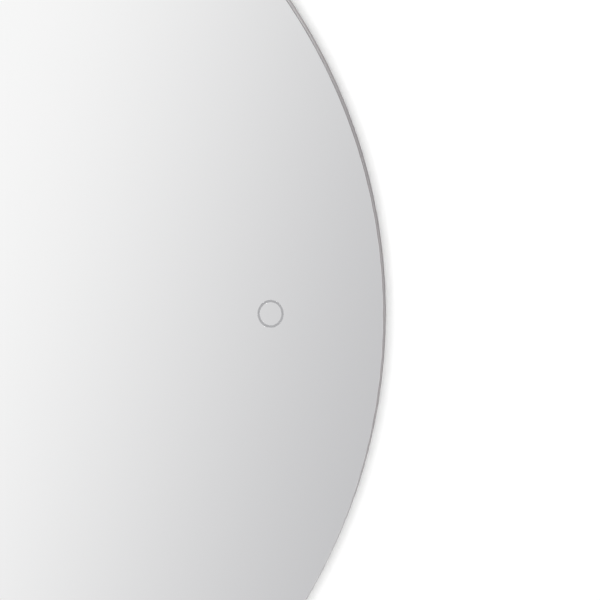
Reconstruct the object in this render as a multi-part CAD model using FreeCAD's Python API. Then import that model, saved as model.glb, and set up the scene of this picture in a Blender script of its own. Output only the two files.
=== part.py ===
import FreeCAD
import Part
import math
import os

from FreeCAD import Vector

# A round bathroom mirror with a light behind it, hung on a wall rail.
#
# Frame: millimetres, +Z up, +X to the right as seen from the front, +Y into the wall.
# The origin is on the wall, at the centre of the wall rail's row of slots.
# Depths are distances from the wall, so a depth d lies at y = -d, and the glass front has the largest depth.
# Everything is first built around the mirror's centre, and save() then moves it to the origin.

# ---- Driving dimensions ----

# Mirror glass
mirror_diameter = 800.0
glass_thickness = 5.0
edge_arris = 0.8            # polished chamfer on both edges of the glass
touch_inset = 81.0          # from the glass edge to the centre of the touch mark
touch_mark_width = 17.0     # of the etched ring's middle line, which is slightly taller than wide
touch_mark_height = 18.2
touch_mark_line = 1.4
touch_mark_depth = 0.2
paint_thickness = 0.2       # paint over the silvering
paint_margin = 1.0          # from the glass edge

# Safety film behind the glass, and the tape that bonds the rim to it
film_thickness = 0.3
film_to_tape = 1.0
tape_thickness = 1.0
tape_width = 16.0

# Rolled aluminium rim profile, in two halves
rim_inset = 0.5             # how far the rim stands inside the glass edge
rim_width = 22.0
rim_depth = 19.0
rim_wall = 1.6
rim_front_round = 0.6
flange_width = 12.0
flange_thickness = 1.6
seam_gap = 0.2

# Light: a flexible strip in the rim, behind a frosted cover
strip_width = 8.0
strip_thickness = 0.3
strip_adhesive = 0.1        # from the rim's wall to the strip
feed_gap = 14.0             # arc left free of strip where the lead comes in
led_count = 140
led_length = 3.5
led_width = 2.8
led_height = 0.8
diffuser_thickness = 2.0
diffuser_setback = 1.5
groove_depth = 0.8
diffuser_segments = 4
segment_gap = 0.3

# Plates that join the rim halves
joiner_length = 60.0
joiner_thickness = 2.0
joiner_margin = 1.2         # from the flange's edges
joiner_screw_near = 10.0    # arc from the seam to the nearer screw
joiner_screw_far = 22.0

# Cross bars, folded from sheet
bar_plate = 2.0
bar_height = 25.0
bar_leg = 10.0
fold_radius = 0.5           # inside every fold of the bars and rails
upper_bar_inset = 200.0     # from the top of the glass to the bar's centre line
lower_bar_inset = 200.0     # from the bottom of the glass to the bar's centre line
bar_end_gap = 1.0           # from a bar's end to the rim's inner wall
bar_leg_gap = 2.0           # from a leg's end to the flange
bar_screw_spread = 12.0

# Hook rails: the wall rail carries the hanger rail
rail_plate = 2.0
hook_gap = 0.6              # play between the hooks, front and back
wall_rail_length = 300.0
hanger_rail_length = 240.0
rail_flange = 24.0
wall_lip = 10.0             # how far the wall rail's lip stands above its web
hook_floor_gap = 1.0        # from the hanger's lip down to the wall rail's web
slot_spacing = 220.0
slot_width = 5.5
slot_length = 14.0
hanger_screw_spacing = 90.0

# Rubber bumpers on the lower bar
bumper_spacing = 360.0
bumper_radius = 9.0
bumper_foot_radius = 7.0
bumper_stem_radius = 3.0
bumper_bulb_radius = 4.2
bumper_bulb_length = 4.0

# Heating pad that keeps the mirror clear of mist
pad_width = 460.0
pad_height = 300.0
pad_corner = 12.0
pad_thickness = 0.4
foil_thickness = 0.15
foil_line = 6.0
foil_pitch = 20.0
foil_margin = 14.0
pad_block_length = 26.0
pad_block_width = 16.0
pad_block_height = 8.0
pad_block_corner = 2.0

# LED driver
driver_x = 70.0
driver_bar_gap = 31.5       # from the lower bar down to the driver
driver_length = 180.0
driver_width = 48.0
driver_height = 18.9
driver_wall = 1.8
driver_corner = 4.0
case_edge = 1.0             # round on the outer edges of the moulded cases
boss_radius = 3.4
boss_overlap = 0.6          # how far a boss reaches into the walls beside it
board_thickness = 1.6
board_standoff = 3.2
board_margin = 1.2
cover_lip = 1.6
cover_rib_count = 9
cover_rib_pitch = 12.0
cover_rib_depth = 0.6
cover_rib_width = 2.0
board_terminal_length = 9.0
core_length = 24.0
core_width = 22.0
core_limb = 5.0
core_yoke = 2.0
winding_overhang = 3.0
can_length = 18.0
choke_radius = 7.0
choke_hole_radius = 3.0
choke_height = 6.0

# Mains terminal box, beside the driver
box_driver_gap = 40.0
box_bar_gap = 27.5          # from the lower bar down to the box
box_length = 90.0
box_width = 56.0
box_height = 18.4
box_wall = 1.5
box_corner = 4.0
lid_skirt = 1.0
lid_tab_length = 4.0
lid_tab_width = 20.0
knuckle_radius = 2.4
pin_radius = 1.0
knuckle_length = 10.0
knuckle_spread = 50.0       # length of the lid's own knuckle
block_length = 22.0
block_width = 32.0
block_height = 12.5
block_entry = 3.0           # how far a core runs into the terminal block
pole_pitch = 10.0
pole_screw_radius = 2.0
pole_slot_width = 0.6
pole_wall_groove = 1.0

# Cable gland in the terminal box's end wall
gland_bore = 3.6
seal_wall = 1.6
seal_length = 8.0
gland_sleeve_wall = 0.9
gland_thread_radius = 6.0
gland_hex = 14.0
gland_hex_length = 4.0
gland_dome_length = 11.0
gland_tail = 8.0
locknut_length = 4.0

# Touch sensor behind the mark
touch_case_radius = 20.0
touch_case_wall = 1.5
touch_cap_thickness = 1.5
touch_cap_bevel = 0.6
touch_tape_thickness = 0.8
touch_tape_width = 4.0
touch_film_gap = 2.0
touch_board_thickness = 1.6
touch_ledge = 1.5
light_ring_wall = 3.4
light_ring_height = 3.4
electrode_radius = 6.0
electrode_thickness = 0.4

# Leads and their clips
lead_diameter = 3.5
mains_lead_diameter = 6.0
earth_lead_diameter = 2.6
sheath_inside = 10.0        # how far the mains lead's sheath reaches into the terminal box
core_diameter = 1.9
core_spread = 2.0           # between the cores at the sheath's end
core_straight = 5.0         # of a core's first and last run
arc_share = 0.45            # of a run, taken up by the arc at its end
lug_thickness = 0.8
lug_ring_radius = 4.5
lug_tongue_width = 4.0
lug_barrel = 7.0
lug_to_lead = 14.0          # from the lug's barrel to where the earth lead turns down
clip_base = 12.0
clip_base_thickness = 1.2
clip_length = 6.0
clip_wall = 1.4
mount_pad_thickness = 1.0
mount_pad_inset = 4.0

# Screws and nuts: shank radius, head radius, head height
M4 = (2.0, 4.0, 2.6)
M3 = (1.5, 2.75, 1.8)
M4_NUT = (7.0, 3.2)         # across flats, height

# Clearances
fit_gap = 0.1               # between a piece and the groove or hole that it sits in
thread_gap = 0.05           # between a screw and its tapped hole
screw_gap = 0.25            # between a screw and its clearance hole
seat_gap = 0.3              # between soft or curved pieces and what carries them
skirt_gap = 0.3
knuckle_gap = 0.2
pin_gap = 0.1
through = 1.0               # how far a cutting tool runs past the surface

# ---- Depths, from the wall to the glass ----

hook_slot = rail_plate + 2 * hook_gap
hook_engagement = wall_lip - hook_floor_gap
wall_lip_front = hook_slot + rail_plate
hanger_back = wall_lip_front + hook_gap
hanger_front = hanger_back + rail_plate
bar_front = hanger_front + bar_plate
rim_back = bar_front
rim_front = rim_back + rim_depth
paint_back = rim_front + tape_thickness
glass_back = paint_back + paint_thickness
glass_front = glass_back + glass_thickness
film_back = paint_back - film_thickness
pad_back = film_back - pad_thickness
mount_pad_back = film_back - mount_pad_thickness
clip_base_back = film_back - clip_base_thickness

# ---- Radii, from the mirror's centre ----

glass_radius = mirror_diameter / 2
rim_outer = glass_radius - rim_inset
rim_inner = rim_outer - rim_width
channel_outer = rim_outer - rim_wall
channel_inner = rim_inner + rim_wall
flange_inner = rim_inner - flange_width
tape_middle = (rim_outer + rim_inner) / 2
film_radius = tape_middle - tape_width / 2 - film_to_tape
bar_end_radius = rim_inner - bar_end_gap
bar_leg_radius = flange_inner - bar_leg_gap
flange_middle = rim_inner - flange_width / 2
strip_radius = channel_inner + strip_adhesive
led_radius = strip_radius + strip_thickness

# ---- Heights, from the mirror's centre ----

upper_bar_z = glass_radius - upper_bar_inset
lower_bar_z = lower_bar_inset - glass_radius
lower_bar_bottom = lower_bar_z - bar_height / 2
hook_rest_z = upper_bar_z - rail_flange / 2 - rail_plate / 2   # underside of the hanger's web
wall_web_top_z = hook_rest_z - wall_lip
slot_line_z = wall_web_top_z - rail_flange / 2
driver_z = lower_bar_bottom - driver_bar_gap - driver_width / 2
driver_left = driver_x - driver_length / 2
driver_right = driver_x + driver_length / 2
box_z = lower_bar_bottom - box_bar_gap - box_width / 2
box_top_z = box_z + box_width / 2
box_right = driver_left - box_driver_gap
box_left = box_right - box_length
box_x = (box_left + box_right) / 2
touch_x = glass_radius - touch_inset
touch_z = 0.0

# ---- Depths inside the rim, the boxes and the touch sensor ----

diffuser_back = rim_back + diffuser_setback
diffuser_front = diffuser_back + diffuser_thickness
strip_depth = (diffuser_front + rim_front - rim_wall) / 2      # depth of the strip's middle
driver_floor = mount_pad_back - driver_wall
driver_back = mount_pad_back - driver_height
driver_cover_front = driver_back + driver_wall
box_floor = mount_pad_back - box_wall
box_back = mount_pad_back - box_height
lid_front = box_back + box_wall
board_front = driver_floor - board_standoff
board_back = board_front - board_thickness
part_room = board_back - driver_cover_front - cover_lip - seat_gap    # height for the parts on the board
lead_radius = lead_diameter / 2
mains_lead_radius = mains_lead_diameter / 2
earth_lead_radius = earth_lead_diameter / 2
core_radius = core_diameter / 2
lead_depth = clip_base_back - fit_gap - lead_radius                    # of the leads along the glass
driver_exit_depth = board_back - part_room / 2
box_exit_depth = (lid_front + lid_skirt + box_floor) / 2
block_back = box_floor - block_height
core_entry_depth = (block_back + box_floor) / 2
earth_depth = bar_front + bar_leg / 2
touch_case_front = paint_back - touch_tape_thickness
touch_board_front = paint_back - seat_gap - light_ring_height
touch_board_back = touch_board_front - touch_board_thickness
touch_case_back = touch_board_back - lead_diameter - 2 * seat_gap
touch_lead_depth = (touch_board_back + touch_case_back) / 2

# ---- Places where leads run ----

demister_lead_x = box_x + block_length / 4
earth_lead_x = box_x - block_length / 4
lug_barrel_end = earth_lead_x - lug_to_lead
earth_screw_x = lug_barrel_end - lug_barrel - lug_ring_radius
pad_block_low = -pad_height / 2 + mount_pad_inset
hinge_z = box_top_z + knuckle_gap + knuckle_radius
board_half_length = driver_length / 2 - driver_wall - 2 * boss_radius - board_margin


# ---- Building blocks ----

def block(x0, x1, z0, z1, near, far):
    """A box between two depths, near and far from the wall."""
    return Part.makeBox(x1 - x0, far - near, z1 - z0, Vector(x0, -far, z0))


def puck(x, z, radius, near, far):
    """A round slab between two depths."""
    return Part.makeCylinder(radius, far - near, Vector(x, -far, z), Vector(0, 1, 0))


def oval_slab(x, z, width, height, near, far):
    """An upright oval slab, at least as tall as wide."""
    outline = Part.Wire(Part.Ellipse(Vector(0, 0, 0), height / 2, width / 2).toShape())
    slab = Part.Face(outline).extrude(Vector(0, 0, far - near))
    slab.rotate(Vector(0, 0, 0), Vector(0, 0, 1), 90)
    slab.rotate(Vector(0, 0, 0), Vector(1, 0, 0), 90)
    slab.translate(Vector(x, -near, z))
    return slab


def washer(x, z, outer, inner, near, far):
    return puck(x, z, outer, near, far).cut(puck(x, z, inner, near - through, far + through))


def rod_x(x0, x1, z, depth, radius):
    return Part.makeCylinder(radius, x1 - x0, Vector(x0, -depth, z), Vector(1, 0, 0))


def rod_z(x, z0, z1, depth, radius):
    return Part.makeCylinder(radius, z1 - z0, Vector(x, -depth, z0), Vector(0, 0, 1))


def rounded_block(x, z, length, width, corner, near, far):
    """A slab with round corners, centred on x and z."""
    slab = block(x - length / 2, x + length / 2, z - width / 2, z + width / 2, near, far)
    upright = [e for e in slab.Edges if abs(e.tangentAt(e.FirstParameter).y) > 0.99]
    return slab.makeFillet(corner, upright)


def eased(piece, depth, radius):
    """Rounds every edge that lies in the plane at one depth."""
    flat = [e for e in piece.Edges if e.BoundBox.YLength < 1e-6 and abs(e.CenterOfMass.y + depth) < 1e-6]
    return piece.makeFillet(radius, flat)


def polygon_face(points):
    return Part.Face(Part.makePolygon(points + [points[0]]))


def spun(section):
    """A ring about the mirror's axis, from (radius, depth) points."""
    face = polygon_face([Vector(radius, -depth, 0) for radius, depth in section])
    return face.revolve(Vector(0, 0, 0), Vector(0, 1, 0), 360)


def spun_at(x, z, section):
    """A round piece about an axis along Y at x and z, from (radius, depth) points."""
    piece = spun(section)
    piece.translate(Vector(x, 0, z))
    return piece


def extruded_x(section, length):
    """A bar along X, centred on x = 0, from (height, depth) points."""
    face = polygon_face([Vector(-length / 2, -depth, z) for z, depth in section])
    return face.extrude(Vector(length, 0, 0))


def edges_along_x(piece, places):
    """The edges that run along X at the given (height, depth) places."""
    return [e for e in piece.Edges if abs(e.tangentAt(e.FirstParameter).x) > 0.99 and
            any(math.hypot(e.CenterOfMass.z - z, e.CenterOfMass.y + depth) < 1e-6 for z, depth in places)]


def folded_x(section, length, plate, outer, inner):
    """A bar of folded sheet along X. outer and inner are the (height, depth) places of its folds."""
    bar = extruded_x(section, length)
    bar = bar.makeFillet(fold_radius + plate, edges_along_x(bar, outer))
    return bar.makeFillet(fold_radius, edges_along_x(bar, inner))


def wedge(start, end, radius, near, far):
    """A sector of a disc between two angles in degrees, counted from +X towards +Z."""
    disc = Part.makeCylinder(radius, far - near, Vector(0, -far, 0), Vector(0, 1, 0), end - start)
    disc.rotate(Vector(0, 0, 0), Vector(0, 1, 0), -end)
    # A cylinder about +Y starts at +Z and turns towards +X, so it is brought round to the angles asked for.
    disc.rotate(Vector(0, 0, 0), Vector(0, 1, 0), 90)
    return disc


def on_circle(radius, degrees):
    angle = math.radians(degrees)
    return radius * math.cos(angle), radius * math.sin(angle)


def hexagon(centre, along, across_flats, length):
    """A six-sided bar from centre, along an axis. Two corners point along X, or along Z on a bar along X."""
    corner = across_flats / math.sqrt(3)
    first = Vector(0, 0, corner) if abs(along.x) > 0.5 else Vector(corner, 0, 0)
    side = along.cross(first)
    points = [centre + first * math.cos(math.radians(60 * i)) + side * math.sin(math.radians(60 * i))
              for i in range(6)]
    return polygon_face(points).extrude(along * length)


def screw(x, z, size, head_front, length):
    """A pan-head screw driven from the wall side. head_front is the depth of the face under its head."""
    shank, head, height = size
    body = eased(puck(x, z, head, head_front - height, head_front), head_front - height, height * 0.35)
    arm = head * 0.5
    slot = shank * 0.25
    near, far = head_front - height - through, head_front - height / 2
    recess = block(x - arm, x + arm, z - slot, z + slot, near, far)
    recess = recess.fuse(block(x - slot, x + slot, z - arm, z + arm, near, far))
    return body.cut(recess).fuse(puck(x, z, shank, head_front, head_front + length))


def tube(points, radius):
    """A round lead along straight runs joined by tangent arcs. Points are (x, z, depth)."""
    corners = [Vector(x, -depth, z) for x, z, depth in points]
    edges = []
    bends = []
    start = corners[0]
    for before, corner, after in zip(corners, corners[1:], corners[2:]):
        into = (corner - before).normalize()
        out = (after - corner).normalize()
        half_turn = into.getAngle(out) / 2
        reach = arc_share * min((corner - before).Length, (after - corner).Length)
        bends.append(reach / math.tan(half_turn))
        first = corner - into * reach
        last = corner + out * reach
        middle = corner + (out - into).normalize() * (bends[-1] / math.cos(half_turn) - bends[-1])
        edges.append(Part.LineSegment(start, first).toShape())
        edges.append(Part.Arc(first, middle, last).toShape())
        start = last
    edges.append(Part.LineSegment(start, corners[-1]).toShape())
    route = Part.Wire(edges)
    section = Part.Wire(Part.Circle(corners[0], (corners[1] - corners[0]).normalize(), radius).toShape())
    made = route.makePipeShell([section], True, False)
    filled = made.Volume / (math.pi * radius ** 2 * route.Length)
    print(f"lead of {2 * radius:.1f} mm: length {route.Length:.0f} mm, tightest bend {min(bends):.0f} mm, "
          f"volume over section times length {filled:.4f}")
    return made


def save(name, *pieces):
    """Writes one sub-part, moved so that the origin lies on the wall at the middle of the row of slots."""
    shape = pieces[0].copy() if len(pieces) == 1 else Part.makeCompound([p.copy() for p in pieces])
    shape.translate(Vector(0, 0, -slot_line_z))
    solids = shape.Solids
    good = all(s.isValid() and s.Volume > 0 for s in solids)
    volume = sum(s.Volume for s in solids)
    print(f"{name:22s} solids {len(solids):4d}  volume {volume:12.1f}  {'ok' if good else 'BAD'}")
    shape.exportStep(f"parts/{name}.step")


# ---- Glass and what is stuck to it ----

def mirror_glass():
    """Silvered float glass with polished edges. The touch mark is a fine ring etched into its face."""
    disc = spun([
        (0, glass_back), (glass_radius - edge_arris, glass_back),
        (glass_radius, glass_back + edge_arris), (glass_radius, glass_front - edge_arris),
        (glass_radius - edge_arris, glass_front), (0, glass_front),
    ])
    return disc.cut(touch_mark(glass_front - touch_mark_depth, glass_front + through))


def touch_mark(near, far):
    outer = oval_slab(touch_x, touch_z, touch_mark_width + touch_mark_line,
                      touch_mark_height + touch_mark_line, near, far)
    return outer.cut(oval_slab(touch_x, touch_z, touch_mark_width - touch_mark_line,
                               touch_mark_height - touch_mark_line, near - through, far + through))


def backing_paint():
    """Grey paint over the silvering, open along the mark so that the sensor's light shows through it."""
    return puck(0, 0, glass_radius - paint_margin, paint_back, glass_back).cut(
        touch_mark(paint_back - through, glass_back + through))


def safety_film():
    """Vinyl film that holds the glass together if it breaks, open where the touch sensor sits."""
    window = puck(touch_x, touch_z, touch_case_radius + touch_film_gap,
                  film_back - through, paint_back + through)
    return puck(0, 0, film_radius, film_back, paint_back).cut(window)


def bonding_tape():
    return washer(0, 0, tape_middle + tape_width / 2, tape_middle - tape_width / 2, rim_front, paint_back)


def pad_outline(near, far):
    return rounded_block(0, 0, pad_width, pad_height, pad_corner, near, far)


def heating_foil():
    """One continuous conductor that runs to and fro across the pad."""
    left = -pad_width / 2 + foil_margin
    right = pad_width / 2 - foil_margin
    rows = int((pad_height - 2 * foil_margin - foil_line) // foil_pitch) + 1
    first_z = -(rows - 1) * foil_pitch / 2
    near, far = pad_back - foil_thickness, pad_back
    foil = None
    for row in range(rows):
        z = first_z + row * foil_pitch
        line = block(left, right, z - foil_line / 2, z + foil_line / 2, near, far)
        foil = line if foil is None else foil.fuse(line)
        if row:
            x = right - foil_line if row % 2 else left
            low = z - foil_pitch - foil_line / 2
            foil = foil.fuse(block(x, x + foil_line, low, z + foil_line / 2, near, far))
    return foil.removeSplitter()


def pad_terminals():
    """Cover over the pad's terminals, just above the pad's lower edge and over the terminal box."""
    front = pad_back - foil_thickness
    body = rounded_block(demister_lead_x, pad_block_low + pad_block_width / 2, pad_block_length,
                         pad_block_width, pad_block_corner, front - pad_block_height, front)
    body = eased(body, front - pad_block_height, case_edge)
    return body.cut(rod_z(demister_lead_x, pad_block_low - through, pad_block_low + pad_block_width / 2,
                          lead_depth, lead_radius + fit_gap))


# ---- Rim, light and bars ----

def rim_section():
    groove_near = diffuser_back - fit_gap
    groove_far = diffuser_front + fit_gap
    web_back = rim_front - rim_wall
    return [
        (rim_inner, rim_front), (rim_outer - rim_front_round, rim_front),
        (rim_outer, rim_front - rim_front_round), (rim_outer, rim_back),
        (channel_outer, rim_back), (channel_outer, groove_near),
        (channel_outer + groove_depth, groove_near), (channel_outer + groove_depth, groove_far),
        (channel_outer, groove_far), (channel_outer, web_back),
        (channel_inner, web_back), (channel_inner, groove_far),
        (channel_inner - groove_depth, groove_far), (channel_inner - groove_depth, groove_near),
        (channel_inner, groove_near), (channel_inner, rim_back),
        (flange_inner, rim_back), (flange_inner, rim_back + flange_thickness),
        (rim_inner, rim_back + flange_thickness),
    ]


def half_space(side):
    """Everything on one side of the seams: side is -1 for left and 1 for right."""
    near, far = -through, glass_front + through
    x0, x1 = (seam_gap / 2, glass_radius) if side > 0 else (-glass_radius, -seam_gap / 2)
    return block(x0, x1, -glass_radius, glass_radius, near, far)


def bar_screw_places(bar_z):
    """Centres of the two screws at each end of a cross bar, on the middle of the flange."""
    places = []
    for z in (bar_z - bar_screw_spread / 2, bar_z + bar_screw_spread / 2):
        x = math.sqrt(flange_middle ** 2 - z ** 2)
        places += [(-x, z), (x, z)]
    return places


def joiner_angles():
    """Angles of the screws at both seams, in degrees."""
    steps = [math.degrees(arc / flange_middle) for arc in (joiner_screw_near, joiner_screw_far)]
    return [seam + side * step for seam in (90, 270) for side in (-1, 1) for step in steps]


def feed_route():
    """The lead to the light: out of the driver's end, then square to the rim's inner wall."""
    z = driver_z + driver_width / 4
    turn_x = driver_right + 30
    inside = led_radius + strip_thickness
    share = inside / math.hypot(turn_x, z)
    return [(driver_x + board_half_length, z, driver_exit_depth),
            (driver_right + 6, z, driver_exit_depth),
            (turn_x, z, strip_depth), (share * turn_x, share * z, strip_depth)]


def feed_angle():
    """Direction from the mirror's centre to the hole where the lead enters the rim, in degrees."""
    x, z, _ = feed_route()[-1]
    return math.degrees(math.atan2(z, x))


def feed_hole(radius):
    """A tool along the lead's last run, through the rim's inner wall."""
    angle = feed_angle()
    x, z = on_circle(rim_inner - through, angle)
    dx, dz = on_circle(1, angle)
    return Part.makeCylinder(radius, rim_wall + 2 * through, Vector(x, -strip_depth, z), Vector(dx, 0, dz))


def rim_half(side):
    half = spun(rim_section()).common(half_space(side))
    tools = [puck(x, z, M4[0] + thread_gap, rim_back - through, rim_back + flange_thickness + through)
             for bar_z in (upper_bar_z, lower_bar_z) for x, z in bar_screw_places(bar_z)]
    for angle in joiner_angles():
        x, z = on_circle(flange_middle, angle)
        tools.append(puck(x, z, M3[0] + screw_gap, rim_back - through, rim_back + flange_thickness + through))
    tools.append(feed_hole(lead_radius + fit_gap))
    return half.cut(Part.makeCompound(tools))


def rim_joiner(seam):
    """A plate on the front of the flange that bridges one seam."""
    reach = math.degrees(joiner_length / 2 / flange_middle)
    near = rim_back + flange_thickness
    far = near + joiner_thickness
    ring = washer(0, 0, rim_inner - joiner_margin, flange_inner + joiner_margin, near, far)
    plate = ring.common(wedge(seam - reach, seam + reach, rim_inner, near - through, far + through))
    for angle in joiner_angles():
        x, z = on_circle(flange_middle, angle)
        plate = plate.cut(puck(x, z, M3[0] + thread_gap, near - through, far + through))
    return plate


def led_strip():
    half_gap = math.degrees(feed_gap / 2 / channel_inner)
    near, far = strip_depth - strip_width / 2, strip_depth + strip_width / 2
    ring = washer(0, 0, led_radius, strip_radius, near, far)
    angle = feed_angle()
    return ring.cut(wedge(angle - half_gap, angle + half_gap, rim_outer, near - through, far + through))


def leds():
    """Light-emitting packages, evenly spaced along the strip."""
    first = feed_angle() + math.degrees(feed_gap / channel_inner)
    span = 360 - 2 * math.degrees(feed_gap / channel_inner)
    made = []
    for i in range(led_count):
        package = block(led_radius, led_radius + led_height, -led_length / 2, led_length / 2,
                        strip_depth - led_width / 2, strip_depth + led_width / 2)
        package.rotate(Vector(0, 0, 0), Vector(0, 1, 0), -(first + span * i / (led_count - 1)))
        made.append(package)
    return made


def diffuser():
    """Frosted cover of the light, in equal segments that sit in grooves in the rim's walls."""
    ring = washer(0, 0, channel_outer + groove_depth - fit_gap, channel_inner - groove_depth + fit_gap,
                  diffuser_back, diffuser_front)
    step = 360 / diffuser_segments
    half_gap = math.degrees(segment_gap / 2 / tape_middle)
    return [ring.common(wedge(45 + i * step + half_gap, 45 + (i + 1) * step - half_gap, glass_radius,
                              diffuser_back - through, diffuser_front + through))
            for i in range(diffuser_segments)]


def cross_bar(bar_z, holes):
    """A channel folded from sheet, screwed to the back of the rim's flange. Its legs point at the glass."""
    low, high = bar_z - bar_height / 2, bar_z + bar_height / 2
    leg_end = bar_front + bar_leg
    outline = folded_x([
        (low, hanger_front), (high, hanger_front), (high, leg_end), (high - bar_plate, leg_end),
        (high - bar_plate, bar_front), (low + bar_plate, bar_front), (low + bar_plate, leg_end),
        (low, leg_end),
    ], 2 * bar_end_radius, bar_plate, [(low, hanger_front), (high, hanger_front)],
        [(low + bar_plate, bar_front), (high - bar_plate, bar_front)])
    bar = outline.common(puck(0, 0, bar_end_radius, 0, glass_back))
    ends = washer(0, 0, glass_radius, bar_leg_radius, bar_front, glass_back)
    tools = [puck(x, z, M4[0] + screw_gap, hanger_front - through, bar_front + through)
             for x, z in bar_screw_places(bar_z)]
    return bar.cut(ends).cut(Part.makeCompound(tools + holes))


def hanger_screw_places():
    return [(x, upper_bar_z + rail_plate / 2) for x in (-hanger_screw_spacing, 0, hanger_screw_spacing)]


def bumper_places():
    return [(-bumper_spacing / 2, lower_bar_z), (bumper_spacing / 2, lower_bar_z)]


def upper_bar():
    return cross_bar(upper_bar_z, [puck(x, z, M4[0] + screw_gap, hanger_front - through, bar_front + through)
                                   for x, z in hanger_screw_places()])


def lower_bar():
    holes = [puck(x, z, bumper_stem_radius + fit_gap, hanger_front - through, bar_front + through)
             for x, z in bumper_places()]
    holes.append(rod_z(earth_screw_x, lower_bar_bottom - through, lower_bar_bottom + bar_plate + through,
                       earth_depth, M4[0] + screw_gap))
    return cross_bar(lower_bar_z, holes)


def bumper(x, z):
    """A rubber foot that keeps the mirror parallel to the wall. Its stem snaps through the bar."""
    neck = bar_front + fit_gap
    return spun_at(x, z, [
        (0, 0), (bumper_foot_radius, 0), (bumper_radius, bumper_radius - bumper_foot_radius),
        (bumper_radius, hanger_front), (bumper_stem_radius, hanger_front), (bumper_stem_radius, neck),
        (bumper_bulb_radius, neck), (bumper_bulb_radius * 0.6, neck + bumper_bulb_length),
        (0, neck + bumper_bulb_length),
    ])


# ---- Hook rails ----

def wall_rail():
    """Fixed to the wall through two slots. Its lip stands off the wall and points up."""
    low = slot_line_z - rail_flange / 2
    web_top = wall_web_top_z
    web_low = web_top - rail_plate
    rail = folded_x([
        (low, 0), (web_top, 0), (web_top, hook_slot), (hook_rest_z, hook_slot), (hook_rest_z, wall_lip_front),
        (web_low, wall_lip_front), (web_low, rail_plate), (low, rail_plate),
    ], wall_rail_length, rail_plate, [(web_top, 0), (web_low, wall_lip_front)],
        [(web_top, hook_slot), (web_low, rail_plate)])
    for x in (-slot_spacing / 2, slot_spacing / 2):
        straight = (slot_length - slot_width) / 2
        slot = block(x - straight, x + straight, slot_line_z - slot_width / 2, slot_line_z + slot_width / 2,
                     -through, rail_plate + through)
        for end in (x - straight, x + straight):
            slot = slot.fuse(puck(end, slot_line_z, slot_width / 2, -through, rail_plate + through))
        rail = rail.cut(slot)
    return rail


def hanger_rail():
    """Screwed to the upper bar. Its web rests on the wall rail's lip and its own lip hangs behind that."""
    lip_back = hook_gap
    lip_front = hook_gap + rail_plate
    web_top = hook_rest_z + rail_plate
    top = hook_rest_z + rail_plate + rail_flange
    rail = folded_x([
        (top, hanger_front), (hook_rest_z, hanger_front), (hook_rest_z, lip_front),
        (hook_rest_z - hook_engagement, lip_front), (hook_rest_z - hook_engagement, lip_back),
        (web_top, lip_back), (web_top, hanger_back), (top, hanger_back),
    ], hanger_rail_length, rail_plate, [(hook_rest_z, hanger_front), (web_top, lip_back)],
        [(hook_rest_z, lip_front), (web_top, hanger_back)])
    tools = [puck(x, z, M4[0] + screw_gap, hanger_back - through, hanger_front + through)
             for x, z in hanger_screw_places()]
    return rail.cut(Part.makeCompound(tools))


def hanger_nut(x, z):
    across, height = M4_NUT
    front = bar_front + height
    return hexagon(Vector(x, -front, z), Vector(0, 1, 0), across, height).cut(
        puck(x, z, M4[0] + thread_gap, bar_front - through, front + through))


# ---- LED driver ----

def driver_boss_places():
    inset = driver_wall + boss_radius - boss_overlap
    dx, dz = driver_length / 2 - inset, driver_width / 2 - inset
    return [(driver_x + sx * dx, driver_z + sz * dz) for sx in (-1, 1) for sz in (-1, 1)]


def driver_base():
    """Tray with four screw bosses and four board supports."""
    shell = rounded_block(driver_x, driver_z, driver_length, driver_width, driver_corner,
                          driver_cover_front, mount_pad_back)
    shell = eased(shell, mount_pad_back, case_edge)
    shell = shell.cut(rounded_block(driver_x, driver_z, driver_length - 2 * driver_wall,
                                    driver_width - 2 * driver_wall, driver_corner - driver_wall,
                                    driver_cover_front - through, driver_floor))
    for x, z in driver_boss_places():
        shell = shell.fuse(puck(x, z, boss_radius, driver_cover_front, driver_floor))
    support_x = board_half_length - board_margin - boss_radius
    support_z = driver_width / 4
    for x in (driver_x - support_x, driver_x + support_x):
        for z in (driver_z - support_z, driver_z + support_z):
            shell = shell.fuse(puck(x, z, boss_radius * 0.7, board_front, driver_floor))
    tools = [puck(x, z, M3[0] + thread_gap, driver_cover_front - through, driver_floor - 2 * through)
             for x, z in driver_boss_places()]
    tools.append(rod_x(driver_left - through, driver_left + driver_wall + through, driver_z,
                       driver_exit_depth, mains_lead_radius + fit_gap))
    for z in (driver_z - driver_width / 4, driver_z + driver_width / 4):
        tools.append(rod_x(driver_right - driver_wall - through, driver_right + through, z, driver_exit_depth,
                           lead_radius + fit_gap))
    return shell.cut(Part.makeCompound(tools))


def driver_cover():
    """Flat cover with cooling ribs, and a lip that drops inside the tray's walls."""
    cover = rounded_block(driver_x, driver_z, driver_length, driver_width, driver_corner,
                          driver_back, driver_cover_front)
    cover = eased(cover, driver_back, case_edge)
    inner_length = driver_length - 2 * (driver_wall + skirt_gap)
    inner_width = driver_width - 2 * (driver_wall + skirt_gap)
    corner = driver_corner - driver_wall
    lip = rounded_block(driver_x, driver_z, inner_length, inner_width, corner,
                        driver_cover_front, driver_cover_front + cover_lip)
    near, far = driver_cover_front - through, driver_cover_front + cover_lip + through
    lip = lip.cut(rounded_block(driver_x, driver_z, inner_length - 2 * driver_wall,
                                inner_width - 2 * driver_wall, corner / 2, near, far))
    for x, z in driver_boss_places():
        lip = lip.cut(puck(x, z, boss_radius + skirt_gap, near, far))
    cover = cover.fuse(lip)
    tools = [puck(x, z, M3[0] + screw_gap, driver_back - through, driver_cover_front + through)
             for x, z in driver_boss_places()]
    for i in range(cover_rib_count):
        x = driver_x + (i - (cover_rib_count - 1) / 2) * cover_rib_pitch
        reach = driver_width / 4
        tools.append(block(x - cover_rib_width / 2, x + cover_rib_width / 2, driver_z - reach,
                           driver_z + reach, driver_back - through, driver_back + cover_rib_depth))
    return cover.cut(Part.makeCompound(tools))


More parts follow.
